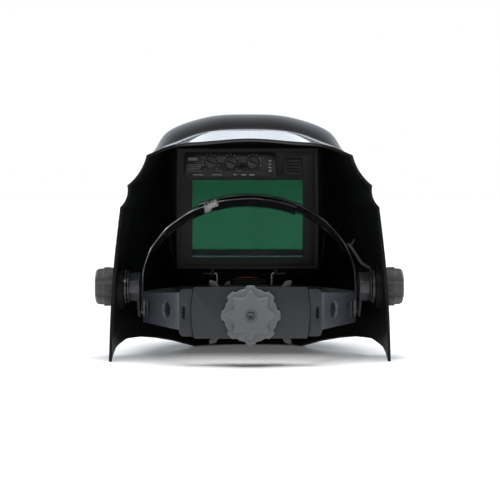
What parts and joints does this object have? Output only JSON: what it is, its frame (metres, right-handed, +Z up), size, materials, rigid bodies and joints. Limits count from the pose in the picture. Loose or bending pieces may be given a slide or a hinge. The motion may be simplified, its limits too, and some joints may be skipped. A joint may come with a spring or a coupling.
{
  "type": "welding helmet",
  "caption": "Auto-darkening welding helmet: thin moulded shell with window and filter cartridge, hung on an adjustable ratchet headgear.",
  "frame": {"origin": "middle of the floor footprint: bottom centre of the whole object's box, standing on its chin and two rear corners", "axes": "+Z up; the lens and window face -Y; the wearer's left is +X, along the side knobs"},
  "size_m": [0.263, 0.255, 0.2121],
  "materials": {
    "shell_plastic": "glossy moulded black",
    "clear_lens": "clear polycarbonate",
    "holder_plastic": "satin black",
    "bright_steel": "bright drawn wire",
    "label_film": "printed film, no text",
    "case_plastic": "fine grain black",
    "filter_glass": "dark green coated",
    "panel_film": "satin black",
    "dial_plastic": "satin black",
    "cell_steel": "nickel",
    "board": "solder mask green",
    "solar": "glossy dark blue",
    "knob_plastic": "fine grain charcoal",
    "zinc_steel": "zinc plated",
    "spacer_plastic": "satin black",
    "band_plastic": "satin charcoal",
    "crown_plastic": "glossy black",
    "sweat_fabric": "dark perforated leatherette",
    "pad_fabric": "dark knit over foam"
  },
  "bodies": {
    "shell": {"shell": "shell_plastic", "cover_lens": "clear_lens", "cartridge_holder": "holder_plastic", "inner_label": "label_film", "cartridge_front_case": "case_plastic", "cartridge_rear_case": "case_plastic", "filter_glass": "filter_glass", "inner_cover_lens": "clear_lens", "control_plate": "panel_film", "coin_cells": "cell_steel", "circuit_board": "board", "solar_cell": "solar", "arc_sensors": "solar", "spacer_left": "spacer_plastic", "spacer_right": "spacer_plastic"},
    "bail": {"wire_bail": "bright_steel"},
    "shade_dial": {"shade_dial": "dial_plastic"},
    "sensitivity_dial": {"sensitivity_dial": "dial_plastic"},
    "delay_dial": {"delay_dial": "dial_plastic"},
    "battery_cover": {"battery_cover": "dial_plastic"},
    "headgear": {"forehead_band": "band_plastic", "sweatband": "sweat_fabric", "side_boss_left": "spacer_plastic", "side_boss_right": "spacer_plastic", "pivot_bolt_left": "zinc_steel", "pivot_bolt_right": "zinc_steel", "stop_washer": "spacer_plastic", "band_rivets": "spacer_plastic"},
    "tension_knob_left": {"tension_knob_left": "knob_plastic"},
    "tension_knob_right": {"tension_knob_right": "knob_plastic"},
    "tilt_lever": {"tilt_limit_lever": "spacer_plastic"},
    "crown": {"crown_strap_left": "crown_plastic", "crown_strap_right": "crown_plastic", "crown_pin": "spacer_plastic"},
    "nape": {"rear_strap_left": "band_plastic", "rear_strap_right": "band_plastic", "ratchet_base": "band_plastic", "ratchet_cover": "band_plastic", "detent_spring": "zinc_steel", "nape_bracket": "spacer_plastic", "nape_pad": "pad_fabric"},
    "ratchet_knob": {"ratchet_knob": "knob_plastic", "knob_screw": "zinc_steel", "pinion": "spacer_plastic"},
    "rack_left": {"strap_rack_left": "band_plastic"},
    "rack_right": {"strap_rack_right": "band_plastic"}
  },
  "joints": [
    {"name": "headgear_tilt", "type": "hinge", "parent": "shell", "child": "headgear", "pos_m": [0, 0.04, 0.061], "axis": [1, 0, 0], "range_deg": [-5, 75]},
    {"name": "bail_swing", "type": "hinge", "parent": "shell", "child": "bail", "pos_m": [0.003, -0.103, 0.0656], "axis": [1, 0, 0], "range_deg": [0, 95]},
    {"name": "shade_turn", "type": "hinge", "parent": "shell", "child": "shade_dial", "pos_m": [0.034, -0.094, 0.1693], "axis": [0, 1, 0], "range_deg": [-135, 135]},
    {"name": "sensitivity_turn", "type": "hinge", "parent": "shell", "child": "sensitivity_dial", "pos_m": [0.0155, -0.094, 0.1693], "axis": [0, 1, 0], "range_deg": [-135, 135]},
    {"name": "delay_turn", "type": "hinge", "parent": "shell", "child": "delay_dial", "pos_m": [-0.005, -0.094, 0.1693], "axis": [0, 1, 0], "range_deg": [-135, 135]},
    {"name": "battery_slide", "type": "slide", "parent": "shell", "child": "battery_cover", "axis": [-1, 0, 0], "range_m": [0, 0.011]},
    {"name": "knob_left_turn", "type": "hinge", "parent": "headgear", "child": "tension_knob_left", "pos_m": [0.12, 0.04, 0.061], "axis": [1, 0, 0], "range_deg": [0, 360]},
    {"name": "knob_right_turn", "type": "hinge", "parent": "headgear", "child": "tension_knob_right", "pos_m": [-0.12, 0.04, 0.061], "axis": [-1, 0, 0], "range_deg": [0, 360]},
    {"name": "tilt_lever_set", "type": "hinge", "parent": "headgear", "child": "tilt_lever", "pos_m": [-0.1034, 0.04, 0.061], "axis": [1, 0, 0], "range_deg": [-15, 15]},
    {"name": "crown_lean", "type": "hinge", "parent": "headgear", "child": "crown", "pos_m": [0, 0.02, 0.043], "axis": [1, 0, 0], "range_deg": [-20, 10]},
    {"name": "nape_slide", "type": "slide", "parent": "headgear", "child": "nape", "axis": [0, -1, 0], "range_m": [0, 0.0157]},
    {"name": "ratchet_turn", "type": "hinge", "parent": "nape", "child": "ratchet_knob", "pos_m": [0, 0.12, 0.0417], "axis": [0, -1, 0], "range_deg": [0, 150]},
    {"name": "rack_left_slide", "type": "slide", "parent": "nape", "child": "rack_left", "axis": [-1, 0, 0], "range_m": [0, 0.016]},
    {"name": "rack_right_slide", "type": "slide", "parent": "nape", "child": "rack_right", "axis": [1, 0, 0], "range_m": [0, 0.016]}
  ],
  "couplings": [
    {"joint": "ratchet_turn", "follows": "nape_slide", "rad_per_m": 166.67},
    {"joint": "rack_left_slide", "follows": "nape_slide", "ratio": 1},
    {"joint": "rack_right_slide", "follows": "nape_slide", "ratio": 1}
  ]
}
